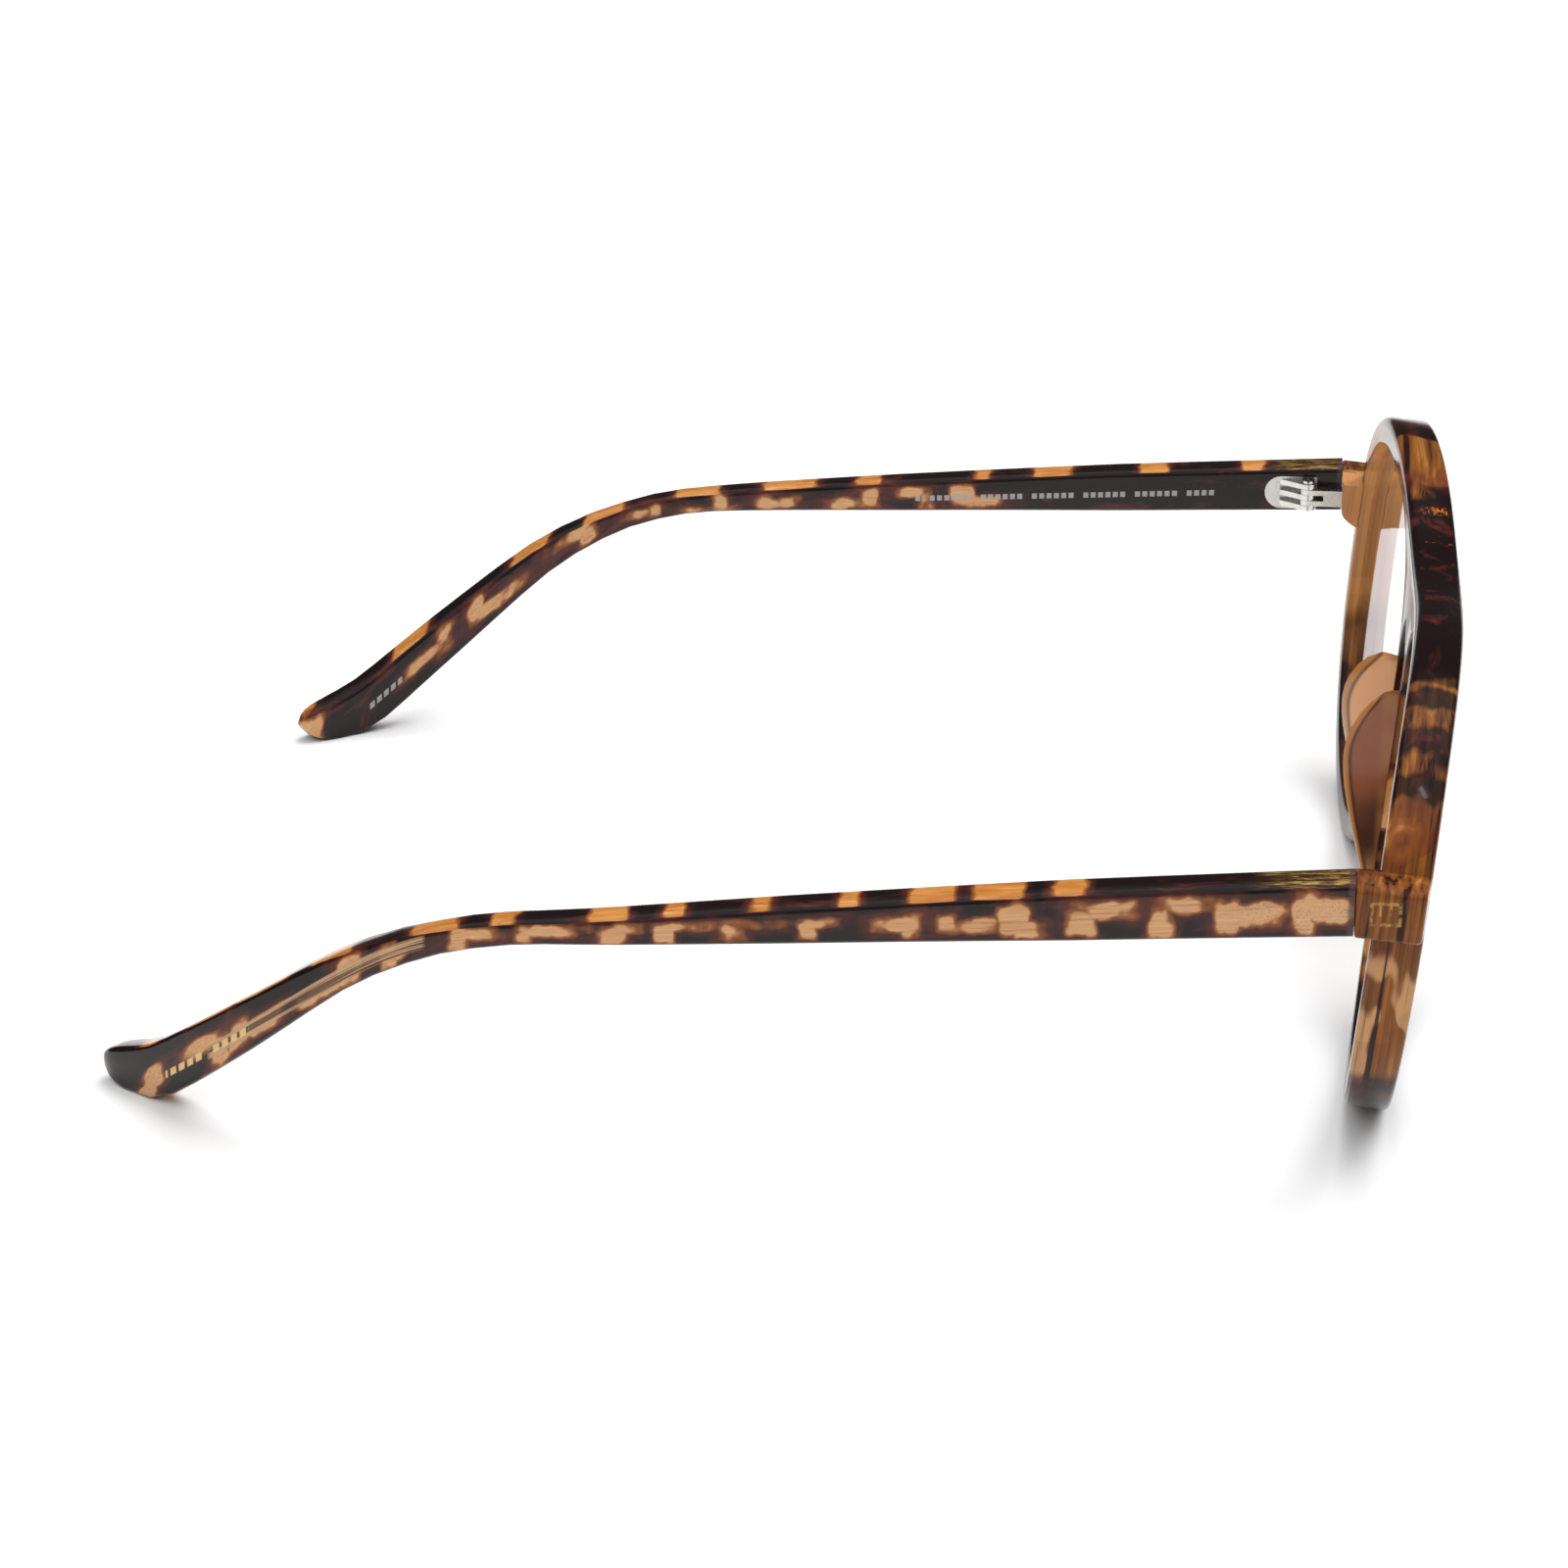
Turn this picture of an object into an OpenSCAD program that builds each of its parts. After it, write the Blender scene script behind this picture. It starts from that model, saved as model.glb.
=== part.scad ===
// Folding reading glasses with acetate front, five-barrel hinges and wire-cored temples.
// Millimetres. The glasses stand open on the ground plane z = 0, front towards -Y,
// temples towards +Y, the wearer's left side at +X. Each half is the mirror of the other.

/* [Lens and bridge] */
// Width of each lens
lens_w = 57; // [55:0.5:58]
// Distance between the two lenses
bridge_w = 14; // [13:0.5:16]
// Height of the lens above its widest line
lens_up = 18.0; // [16.5:0.1:19]
// Depth of the lens below its widest line
lens_down = 28.0; // [26:0.1:29]
// Thickness of each lens at the middle
lens_t = 2.6; // [2.2:0.1:3]

/* [Front] */
// Width of the rim at the temples
rim_side = 3.1; // [3:0.05:3.6]
// Width of the rim at the nose
rim_nose = 2.2; // [2:0.1:2.6]
// Width of the rim at the top
rim_top = 3.6; // [3:0.1:4]
// Width of the rim at the bottom
rim_bottom = 3.5; // [3:0.1:4]
// Thickness of the front from front face to rear face
front_t = 5.6; // [5.4:0.1:5.9]
// Radius of the wrap of the front, seen from above
wrap_r = 565; // [500:5:900]
// Lean of the front, lower edge towards the wearer
lean = 5.0; // [4:0.05:6]
// Height of the widest line of the lenses above the ground
front_z = 31.0; // [30.9:0.05:31.3]
// Rounding of the outer front edges of the front
edge_r = 0.55; // [0.4:0.05:0.8]
// Rounding of the outer rear edges of the front
rear_r = 1.1; // [0.7:0.05:1.3]
// Drop of the brow line at the bridge
brow_drop = 2.6; // [1:0.1:4]
// Height of the bridge arch above the widest line
arch_h = 10.6; // [9:0.1:11]

/* [Temples] */
// Thickness of the temple at the hinge
temple_t = 4.9; // [4.6:0.1:5.2]
// Height of the temple at the hinge
temple_h = 6.2; // [6:0.1:6.4]
// Angle of the bend behind the ear
bend = 34.9; // [33:0.1:36]
// Radius of the bend behind the ear
bend_r = 48; // [40:1:55]
// Inward curve of the temple tip
tip_in = 22.3; // [18:0.1:24]

/* [Hinges] */
// Diameter of the hinge barrel
barrel_d = 2.2; // [2:0.05:2.3]
// Distance of the hinge pin behind the seam
pin_back = 4.6; // [4.4:0.1:5]
// Running clearance between screw and bore
run_gap = 0.04; // [0.02:0.01:0.06]

/* [Hidden] */

// Colours
amber = [0.55, 0.30, 0.12];
amber_pad = [0.68, 0.40, 0.20];
amber_temple = [0.42, 0.24, 0.13];
clear = [0.80, 0.83, 0.90, 0.5];
steel = [0.78, 0.78, 0.80];
wire_steel = [0.66, 0.67, 0.70];

// Position of the whole object along Y, so that its box is centred
seam_y = -64.59;
// Most forward line of the bridge, measured from the seam
front_y = -11.4;
// Vertical curve of the front
crown = 0.0014;
// Lens centre line and outer half sizes of the rim
eye_x = (lens_w + bridge_w) / 2;
lens_a = lens_w / 2;
rim_a = lens_a + rim_side;
rim_n = lens_a + rim_nose;
rim_u = lens_up + rim_top;
rim_d = lens_down + rim_bottom;
// Arch angle where the nose pad starts; the outline is stepped finely from there on
pad_top = 20;
// Roundness of the four quarters of the outline: temporal up, nasal up, nasal down, temporal down
round_q = [2.6, 3.0, 1.8, 2.2];
// Shape of the bridge arch, 1 for an ellipse and less for a squarer arch
arch_p = 0.7;
// Heights of the bridge at the middle
brow_mid = rim_u - brow_drop;
// Loss of thickness at the lower edge
low_thin = 0.5;
// Rounding of the inner edges and of the edge under the nose pad
inner_r = 0.45;
pad_edge_r = 0.08;
// Angles on the rim between which the nose pad sits, below the bridge arch
pad_from = 183;
pad_to = 222;
// Points across the rear face, as shares of its width
rear_at = [0.35, 0.65];
// Lens groove and the bevel that sits in it
groove_at = 3.3;
groove_half = 0.9;
groove_deep = 0.85;
bevel_gap = 0.05;

// Endpiece block
end_x = 71.25;
end_lo = 1.3;
end_hi = 7.3;
end_r = 0.8;
end_fillet = 1.6;
end_rear_r = 0.3;
end_in = 0.1;
seam_gap = 0.06;
end_rise = [0.25, 0.6, 0.85, 0.97];
// Angle on the rim near the upper edge of the endpiece, and the small steps where the two meet
end_near = 14;
end_skip = 0.03;
end_ease = 0.2;

// Temple path and section
temple_x = 68.7;
temple_z = 36.45;
temple_drop = 4.0;
bend_y = 101.4;
tip_y = 141.2;
in_start = 72;
in_power = 2.4;
splay = 1.9;
bow_up = 0.25;
bow_end = 88;
level_y = 131;
level_run = 8;
level_in = 12;
level_share = 0.85;
temple_edge_r = 0.75;
temple_lift = 0.06;
// Thickness at the tip, reached at this length, and how the tip rounds off
tip_t = 3.7;
tip_t_y = 95;
tip_span = 4.2;
tip_keep = 0.35;
tip_side_r = 2.2;
tip_min_h = 0.25;
tip_min_t = 0.9;

// Core wire
wire_w = 1.1;
wire_h = 1.5;
wire_gap = 0.02;
wire_start = 1.2;
wire_end = 127.5;
wire_round = 0.6;

// Hinge
pin_x = 65.15;
pin_z = 35.85;
barrel_r = barrel_d / 2;
knuckle = 0.7;
knuckle_gap = 0.04;
pitch = knuckle + knuckle_gap;
stack = 5 * knuckle + 4 * knuckle_gap;
bore_r = 0.6;
screw_r = bore_r - run_gap;
head_r = 0.85;
head_t = 0.4;
slot_w = 0.26;
slot_deep = 0.22;
screw_under = 0.15;
plate_in = pin_x + barrel_r + knuckle_gap;
plate_t = 1.0;
plate_h = 4.5;
plate_y = 3.4;
plate_round_y = 8.1;
arm_end = 8.3;
arm_angle = 40;
slit_deep = 0.7;
stud_r = 0.35;
stud_t = 0.6;
block_end = 2.5;
foot_x = 64.38;
foot_w = 1.7;
foot_y = -0.7;
prong_y = -2.6;
prong_w = 1.1;
prong_h = 0.8;
prong_z = 1.45;
barb_r = 0.7;
fit_gap = 0.01;
small = 0.02;
fine = 48;
// How far cutting shapes reach past what they cut, and the size of the ground block
past = 1;
ground_size = 200;

// Power with sign kept away from zero
function pw(v, n) = pow(max(abs(v), 1e-9), n);

// Radius of the rounded outline at an angle
function round_n(t) =
    sin(t) >= 0 ? (cos(t) >= 0 ? round_q[0] : round_q[1]) : (cos(t) < 0 ? round_q[2] : round_q[3]);
function outline_r(t, a, n, u, d) =
    pow(pw(cos(t) / (cos(t) >= 0 ? a : n), round_n(t)) + pw(sin(t) / (sin(t) >= 0 ? u : d), round_n(t)),
        -1 / round_n(t));
function lens_pt(t) =
    [eye_x + outline_r(t, lens_a, lens_a, lens_up, lens_down) * cos(t),
     outline_r(t, lens_a, lens_a, lens_up, lens_down) * sin(t)];
function rim_pt(t) =
    [eye_x + outline_r(t, rim_a, rim_n, rim_u, rim_d) * cos(t),
     outline_r(t, rim_a, rim_n, rim_u, rim_d) * sin(t)];
function angle_of(p) = atan2(p[1], p[0] - eye_x);

// Unit vector of a 2-D step, turned a quarter to the right
function outward(p, q) = let (d = q - p, l = norm(d)) [d[1] / l, -d[0] / l];

// Angles where the endpiece starts and ends on the rim
end_a0 = asin((end_lo - end_fillet) / outline_r(0, rim_a, rim_n, rim_u, rim_d));
end_a1 = asin(end_hi / outline_r(end_near, rim_a, rim_n, rim_u, rim_d));

// Outer contour of the left half as [x, w, kind]; kind 0 rim, 1 endpiece, 2 mid plane, 3 pad zone.
// The steps along each stretch are an even share of that stretch, in points or in degrees.
arc_at = [75, 60, 45, 30, 22, 15, 10, 5, 0];
flat_steps = 3;
brow_steps = 14;
rim_step = 6;
pad_step = 3;
upper_step = 5;
round_step = 30;
fillet_step = 25;
contour = concat(
    [for (i = [0:flat_steps]) [0, brow_mid + (arch_h - brow_mid) * i / flat_steps, 2]],
    [for (f = arc_at)
        [(eye_x - rim_n) * pow(cos(f), arch_p), arch_h * pow(sin(f), arch_p), f < pad_top ? 3 : 0]],
    [for (t = [pad_from:pad_step:pad_to]) [rim_pt(t)[0], rim_pt(t)[1], 3]],
    [for (t = [pad_to + rim_step:rim_step:360 - rim_step]) [rim_pt(t)[0], rim_pt(t)[1], 0]],
    [[rim_pt(end_a0)[0], end_lo - end_fillet - end_skip, 0]],
    [for (f = [90 + 3 * fillet_step:-fillet_step:90]) [rim_pt(end_a0)[0] + end_fillet * (1 + cos(f)),
                             end_lo - end_fillet * (1 - sin(f)), 1]],
    [for (f = [-90:round_step:0]) [end_x - end_r + end_r * cos(f), end_lo + end_r + end_r * sin(f), 1]],
    [for (f = [0:round_step:90]) [end_x - end_r + end_r * cos(f), end_hi - end_r + end_r * sin(f), 1]],
    [[rim_pt(end_a1)[0] + end_ease, end_hi, 1]],
    [[rim_pt(end_a1)[0], end_hi + end_skip, 0]],
    [for (t = [22:upper_step:87]) [rim_pt(t)[0], rim_pt(t)[1], 0]],
    [for (i = [0:brow_steps - 1]) let (x = eye_x * (1 - i / brow_steps))
        [x, brow_mid + brow_drop * (1 - cos(180 * x / eye_x)) / 2, 0]]);
count = len(contour);
end_ids = [for (i = [0:count - 1]) if (contour[i][2] == 1) i];
first_end = end_ids[0];
last_end = end_ids[len(end_ids) - 1];

// Matching angle on the lens for each contour point
function carrier(i) =
    i < first_end || i > last_end ? angle_of(contour[i])
    : end_a0 + (end_a1 - end_a0) * (i - first_end + 1) / (last_end - first_end + 2);
carriers = [for (i = [0:count - 1]) carrier(i)];

// Outward normals of the outer contour and of the lens outline
function contour_n(i) =
    contour[i][2] == 2 ? [0, i < 1 ? 1 : -1]
    : outward(xy(contour[(i + count - 1) % count]), xy(contour[(i + 1) % count]));
function xy(p) = [p[0], p[1]];
function lens_n(t) = outward(lens_pt(t - 1), lens_pt(t + 1));

// Place a point of the flat front: x across, w up, d depth behind the front face
function bow(x, w) = x * x / (2 * wrap_r) + crown * w * w;
function place(x, w, d) =
    let (y = bow(x, w) + d)
    [x, seam_y + front_y + y * cos(lean) - w * sin(lean), front_z + y * sin(lean) + w * cos(lean)];
// Depth at which the front reaches the seam plane
function seam_d(x, w) = (w * sin(lean) - front_y) / cos(lean) - bow(x, w);

// Quarter arc of a section corner
corner_steps = 3;
function corner(e, d, r, a0, a1) =
    [for (k = [0:corner_steps])
        let (a = a0 + (a1 - a0) * k / corner_steps) [e + r * cos(a), d + r * sin(a)]];

// Thickness of the front, falling towards its lower edge
function thick_w(w) = front_t - low_thin * pow(min(0, w) / rim_d, 2);

// Section of the rim as [offset from its edge, depth]; first the inner part, then the outer part
function inner_sec(t) = concat(
    corner(inner_r, inner_r, inner_r, 270, 180),
    [[0, groove_at - groove_half], [groove_deep, groove_at], [0, groove_at + groove_half]],
    corner(inner_r, t - inner_r, inner_r, 180, 90));
n_in = len(inner_sec(front_t));
n_mid = n_in + len(rear_at);
n_sec = n_mid + 2 * (corner_steps + 1);

function put(p, n, s) = place(p[0] + n[0] * s[0], p[1] + n[1] * s[0], s[1]);

// Share of the way from the rear of the rim to the seam, rising at the lower corner of the endpiece
function end_share(i) =
    contour[i][2] != 1 ? 0 : i - first_end < len(end_rise) ? end_rise[i - first_end] : 1;

function station(i) =
    let (c = contour[i], t = carriers[i], p = lens_pt(t), n = lens_n(t), q = xy(c), m = contour_n(i))
    let (kind = c[2], e = end_share(i))
    let (t_in = thick_w(p[1]), t_out = thick_w(q[1]))
    let (rear = t_out + e * (seam_d(q[0], q[1]) - t_out))
    let (rr = kind == 1 ? end_rear_r : kind == 3 ? pad_edge_r : rear_r)
    concat(
        [for (s = inner_sec(t_in)) put(p, n, s)],
        kind == 1
            ? [place(p[0] + end_in, p[1], t_in),
               place(p[0] + end_in + small, p[1], t_in + e * (seam_d(p[0] + end_in, p[1]) - t_in))]
            : [for (f = rear_at)
                place(p[0] + (q[0] - p[0]) * f, p[1] + (q[1] - p[1]) * f, t_in + (t_out - t_in) * f)],
        [for (s = corner(-rr, rear - rr, rr, 90, 0)) put(q, m, s)],
        [for (s = corner(-edge_r, edge_r, edge_r, 0, -90)) put(q, m, s)]);

// Points in the middle of the bridge lie on the mid plane and are used by both halves
function on_mid(i, k) = contour[i][2] == 2 && k >= n_mid;
function buried(i, j, k) =
    contour[i][2] == 2 && contour[j][2] == 2 && k >= n_mid && k < n_sec - 1;

module front_body() {
    half = [for (i = [0:count - 1]) station(i)];
    right = [for (s = half) for (p = s) p];
    left = [for (p = right) [-p[0], p[1], p[2]]];
    n = count * n_sec;
    tri_right = [for (i = [0:count - 1]) for (k = [0:n_sec - 1])
        let (j = (i + 1) % count, l = (k + 1) % n_sec)
        if (!buried(i, j, k))
            for (f = [[i * n_sec + k, i * n_sec + l, j * n_sec + l],
                      [i * n_sec + k, j * n_sec + l, j * n_sec + k]]) f];
    mid = [for (i = [0:count - 1]) for (k = [0:n_sec - 1])
        on_mid(i, k) ? i * n_sec + k : n + i * n_sec + k];
    tri_left = [for (f = tri_right) [mid[f[0]], mid[f[2]], mid[f[1]]]];
    polyhedron(points = concat(right, left), faces = concat(tri_right, tri_left), convexity = 8);
}

// Cut everything below the ground plane
module below_ground() {
    translate([-ground_size / 2, -ground_size / 2, -ground_size]) cube(ground_size);
}

// Half of a pair: the left side as drawn, the right side mirrored
module side(right) {
    mirror([right ? 1 : 0, 0, 0]) children();
}

module front_frame() {
    color(amber)
    difference() {
        front_body();
        below_ground();
        for (right = [false, true]) side(right) foot_shape(fit_gap);
    }
}

// Lens: beveled edge, convex front and flatter rear
lens_rings = [1, 0.82, 0.62, 0.4, 0.2];
front_sag = 1.5;
edge_half = 0.75;
bevel_out = groove_deep - 2 * bevel_gap;
function lens_spot(t, s, d) =
    let (p = lens_pt(t)) place(eye_x + (p[0] - eye_x) * s, p[1] * s, d);
module lens(right) {
    ts = [for (i = [0:count - 1]) carriers[i]];
    m = len(lens_rings);
    front = [for (s = lens_rings) for (t = ts)
        lens_spot(t, s - bevel_gap / lens_a, groove_at - edge_half - front_sag * (1 - s * s))];
    rear = [for (s = lens_rings) for (t = ts)
        lens_spot(t, s - bevel_gap / lens_a, groove_at + edge_half + (lens_t - 2 * edge_half - front_sag)
                  * (1 - s * s))];
    rim = [for (t = ts) put(lens_pt(t), lens_n(t), [bevel_out, groove_at])];
    cf = place(eye_x, 0, groove_at - edge_half - front_sag);
    cr = place(eye_x, 0, groove_at - edge_half - front_sag + lens_t);
    pts = concat(front, rear, rim, [cf, cr]);
    nf = m * count;
    faces = [for (i = [0:count - 1]) let (j = (i + 1) % count)
        each concat(
            [for (r = [0:m - 2]) each [
                [r * count + i, (r + 1) * count + j, r * count + j],
                [r * count + i, (r + 1) * count + i, (r + 1) * count + j],
                [nf + r * count + i, nf + r * count + j, nf + (r + 1) * count + j],
                [nf + r * count + i, nf + (r + 1) * count + j, nf + (r + 1) * count + i]]],
            [[(m - 1) * count + j, (m - 1) * count + i, 2 * nf + count],
             [nf + (m - 1) * count + i, nf + (m - 1) * count + j, 2 * nf + count + 1],
             [2 * nf + i, j, 2 * nf + j], [2 * nf + i, i, j],
             [nf + i, 2 * nf + j, nf + j], [nf + i, 2 * nf + i, 2 * nf + j]])];
    color(clear) side(right) polyhedron(points = pts, faces = faces, convexity = 6);
}
module lens_right() { lens(true); }
module lens_left() { lens(false); }

// Nose pad: a fin bonded on the rear face of the nasal rim, leaning away from the nose
// Height off the rim, width at the root, lean, and the rounding at the two ends
pad_h = 5.7;
pad_base = 1.9;
pad_lean = 0.55;
pad_edge = 0.1;
pad_low = 0.25;
pad_full = 1.0;
pad_skew = 0.55;
pad_glue = 0.02;
pad_lead = 0.4;
// Pad section as [share of base, share of lean, share of height]
pad_shape = [[0, 0, 0], [0.01, 0.10, 0.30], [0.08, 0.42, 0.60], [0.18, 0.75, 0.85], [0.31, 0.93, 0.96],
             [0.46, 1, 1], [0.64, 0.96, 0.97], [0.80, 0.80, 0.86], [0.90, 0.50, 0.60],
             [0.95, 0.20, 0.30], [0.95, 0, 0]];
pad_ids = [for (i = [0:count - 1]) if (contour[i][2] == 3) i];
pad_n = len(pad_ids);
function pad_pt(j) = xy(contour[pad_ids[j]]);
function pad_run(j) = j < 1 ? 0 : pad_run(j - 1) + norm(pad_pt(j) - pad_pt(j - 1));
function pad_share(j) = (pad_run(j) + pad_lead) / (pad_run(pad_n - 1) + 2 * pad_lead);
function pad_rise(f) = pad_low + (pad_h - pad_low) * pow(sin(180 * pow(f, pad_skew)), pad_full);
function pad_sec(h) =
    [for (p = pad_shape) [-pad_edge - pad_base * p[0] - pad_lean * h * p[1], h * p[2]]];
// Depth of the rear face of the rim under the pad, at a distance in from the outer contour
function pad_seat(i, d) =
    let (q = xy(contour[i]), p = lens_pt(carriers[i]), t = thick_w(q[1]))
    t + pad_glue + max(0, thick_w(p[1]) - t) * d / norm(q - p);
module nose_pad(right) {
    secs = [for (j = [0:pad_n - 1]) let (i = pad_ids[j], h = pad_rise(pad_share(j)))
        for (s = pad_sec(h)) put(xy(contour[i]), contour_n(i), [s[0], pad_seat(i, -s[0]) + s[1]])];
    k = len(pad_shape);
    faces = concat(
        [[for (v = [0:k - 1]) v]],
        [[for (v = [k - 1:-1:0]) (pad_n - 1) * k + v]],
        [for (j = [0:pad_n - 2]) for (v = [0:k - 1]) let (w = (v + 1) % k)
            each [[j * k + v, (j + 1) * k + w, j * k + w], [j * k + v, (j + 1) * k + v, (j + 1) * k + w]]]);
    color(amber_pad) side(right) polyhedron(points = secs, faces = faces, convexity = 4);
}
module nose_pad_right() { nose_pad(true); }
module nose_pad_left() { nose_pad(false); }

// Temple centre line in side view: straight, bend, straight
tangent = bend_r * tan(bend / 2);
turn_y = bend_y - tangent * cos(temple_drop);
corner_z = temple_z - bend_y * tan(temple_drop);
turn_end = bend_y + tangent * cos(temple_drop + bend);
arc_y0 = turn_y - bend_r * sin(temple_drop);
arc_z0 = temple_z - turn_y * tan(temple_drop) - bend_r * cos(temple_drop);
function pitch_at(y) =
    y < turn_y ? temple_drop
    : y > turn_end ? (temple_drop + bend) * (1 - level_share * max(0, min(1, (y - level_y) / level_run)))
    : asin((y - arc_y0) / bend_r);
function path_z(y) =
    y < turn_y ? temple_z - y * tan(temple_drop)
    : y > turn_end ? corner_z - (y - bend_y) * tan(temple_drop + bend)
    : arc_z0 + bend_r * cos(pitch_at(y));
function level_up(y) =
    let (k = tan(temple_drop + bend), s = max(0, min(1, (y - level_y) / level_run)))
    k * (level_run * s * s / 2 + max(0, y - level_y - level_run));
function line_z(y) = path_z(y) + bow_up * sin(180 * max(0, min(1, y / bow_end))) + level_up(y);
in_span = tip_y - in_start;
function in_share(y) = max(0, y - in_start) / in_span;
function line_x(y) = temple_x + max(0, y) * tan(splay) - tip_in * pow(in_share(y), in_power);
function yaw_at(y) =
    atan(in_power * tip_in / in_span * pow(in_share(y), in_power - 1) - tan(splay))
    * ease(min(1, max(0, y) / level_in));

// Height and thickness of the temple along its length, straight between given stations
// but eased over the one ahead of the bend, where the temple is thinnest
height_y = [0, 30, 60, 87, 98, 108, 122, 133, 150];
height_v = [temple_h, 5.65, 4.35, 2.85, 3.0, 3.9, 5.5, 6.4, 6.6];
height_ease = 3;
function seg(y, t, i = 0) = y < t[i + 1] || i >= len(t) - 2 ? i : seg(y, t, i + 1);
function ease(f) = f * f * (3 - 2 * f);
function height_at(y) =
    let (i = seg(y, height_y), f = (y - height_y[i]) / (height_y[i + 1] - height_y[i]))
    height_v[i] + (height_v[i + 1] - height_v[i]) * (i == height_ease ? ease(f) : f);
function thick_at(y) = temple_t + (tip_t - temple_t) * min(1, y / tip_t_y);

// Rounding of the tip above and below the centre line
top_round = 7;
low_round = 7.5;
function taper(y, r) = let (f = max(0, (y - (tip_y - r)) / r)) sqrt(max(0, 1 - f * f));

function section_axes(y) =
    let (p = pitch_at(y) * ease(max(0, min(1, y / level_in))), w = yaw_at(y))
    [[cos(w), sin(w), 0], [-sin(p) * sin(w), sin(p) * cos(w), cos(p)]];

// Rounded box section with its upper and lower half heights given apart
function box_sec(hx, up, dn, r) =
    concat(
        [for (a = [0:22.5:90]) [hx - r + r * cos(a), up - min(r, up) + min(r, up) * sin(a)]],
        [for (a = [90:22.5:180]) [r - hx + r * cos(a), up - min(r, up) + min(r, up) * sin(a)]],
        [for (a = [180:22.5:270]) [r - hx + r * cos(a), min(r, dn) - dn + min(r, dn) * sin(a)]],
        [for (a = [270:22.5:360]) [hx - r + r * cos(a), min(r, dn) - dn + min(r, dn) * sin(a)]]);

// Stations along the temple, closer at the bend and at the tip
temple_ys = concat(
    [seam_gap, 2.5, 6, 12, 20, 30, 40, 50, 60, 70],
    [for (y = [78:4:122]) y],
    [for (y = [125:2.5:135]) y],
    [for (f = [15:15:75]) tip_y - tip_span * (1 - sin(f))],
    [tip_y - small]);
function at(y, s) =
    let (a = section_axes(y))
    [line_x(y), seam_y + y, line_z(y) + temple_lift] + a[0] * s[0] + a[1] * s[1];
function temple_ring(y) =
    let (h = height_at(y) / 2)
    let (u = max(tip_min_h, h * taper(y, top_round)), d = max(tip_min_h, h * taper(y, low_round)))
    let (hx = max(tip_min_t, thick_at(y) / 2 * (tip_keep + (1 - tip_keep) * taper(y, tip_side_r))))
    [for (s = box_sec(hx, u, d, temple_edge_r)) at(y, s)];
wire_ys = concat([for (y = temple_ys) if (y > wire_start && y < wire_end) y], [wire_end]);
function wire_ring(y, g) =
    [for (a = [22.5:45:360])
        at(y, [(wire_w / 2 + g) * sign(cos(a)) * pow(abs(cos(a)), wire_round),
               (wire_h / 2 + g) * sign(sin(a)) * pow(abs(sin(a)), wire_round)])];

// Closed body swept through a list of rings
module sweep(rings) {
    m = len(rings);
    k = len(rings[0]);
    faces = concat(
        [[for (v = [k - 1:-1:0]) v]],
        [[for (v = [0:k - 1]) (m - 1) * k + v]],
        [for (j = [0:m - 2]) for (v = [0:k - 1]) let (w = (v + 1) % k)
            each [[j * k + v, j * k + w, (j + 1) * k + w], [j * k + v, (j + 1) * k + w, (j + 1) * k + v]]]);
    polyhedron(points = [for (r = rings) for (p = r) p], faces = faces, convexity = 6);
}

module temple(right) {
    color(amber_temple)
    difference() {
        side(right) sweep([for (y = temple_ys) temple_ring(y)]);
        side(right) sweep(concat([wire_ring(-1, wire_gap)], [for (y = wire_ys) wire_ring(y, wire_gap)]));
        side(right) plate_shape(fit_gap);
        below_ground();
    }
}
module temple_right() { temple(true); }
module temple_left() { temple(false); }

module core_wire(right) {
    color(wire_steel) side(right)
    sweep(concat([wire_ring(wire_start, 0)],
                 [for (y = wire_ys) wire_ring(min(y, wire_end - wire_gap), 0)]));
}
module core_wire_right() { core_wire(true); }
module core_wire_left() { core_wire(false); }

// Vertical cylinder on the hinge axis, counted from the bottom of the barrel stack
module on_pin(r, z, h) {
    translate([pin_x, seam_y + pin_back, pin_z - stack / 2 + z]) cylinder(r = r, h = h, $fn = fine);
}

// Plate of the temple leaf and its two studs, grown by a fit gap
module plate_shape(g) {
    translate([plate_in - g, seam_y + plate_y - g, pin_z - plate_h / 2 - g])
        cube([plate_t + 2 * g, plate_round_y - plate_y + g, plate_h + 2 * g]);
    translate([plate_in - g, seam_y + plate_round_y, pin_z])
        rotate([0, 90, 0]) cylinder(r = plate_h / 2 + g, h = plate_t + 2 * g, $fn = fine);
    for (s = [-1, 1])
        translate([plate_in + plate_t - small, seam_y + plate_round_y, pin_z + s * prong_z])
            rotate([0, 90, 0]) cylinder(r = stud_r + g, h = stud_t + small, $fn = fine);
}

// Arm from the plate up to a knuckle, seen from above
module arm() {
    linear_extrude(knuckle)
        polygon([[pin_x, pin_back - barrel_r], [plate_in + small, pin_back - barrel_r],
                 [plate_in + small, arm_end], [plate_in, arm_end],
                 [pin_x - barrel_r * sin(arm_angle), pin_back + barrel_r * cos(arm_angle)]]);
}

module temple_leaf(right) {
    color(steel) side(right)
    difference() {
        union() {
            plate_shape(0);
            for (k = [0, 2, 4]) {
                on_pin(barrel_r, k * pitch, knuckle);
                translate([0, seam_y, pin_z - stack / 2 + k * pitch]) arm();
            }
        }
        for (k = [1, 3])
            translate([pin_x, seam_y + plate_y - past, pin_z - stack / 2 + k * pitch - knuckle_gap])
                cube([plate_in - pin_x + slit_deep, arm_end - plate_y + past, knuckle + 2 * knuckle_gap]);
        on_pin(bore_r, -past, stack + 2 * past);
    }
}
module temple_hinge_leaf_right() { temple_leaf(true); }
module temple_hinge_leaf_left() { temple_leaf(false); }

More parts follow.
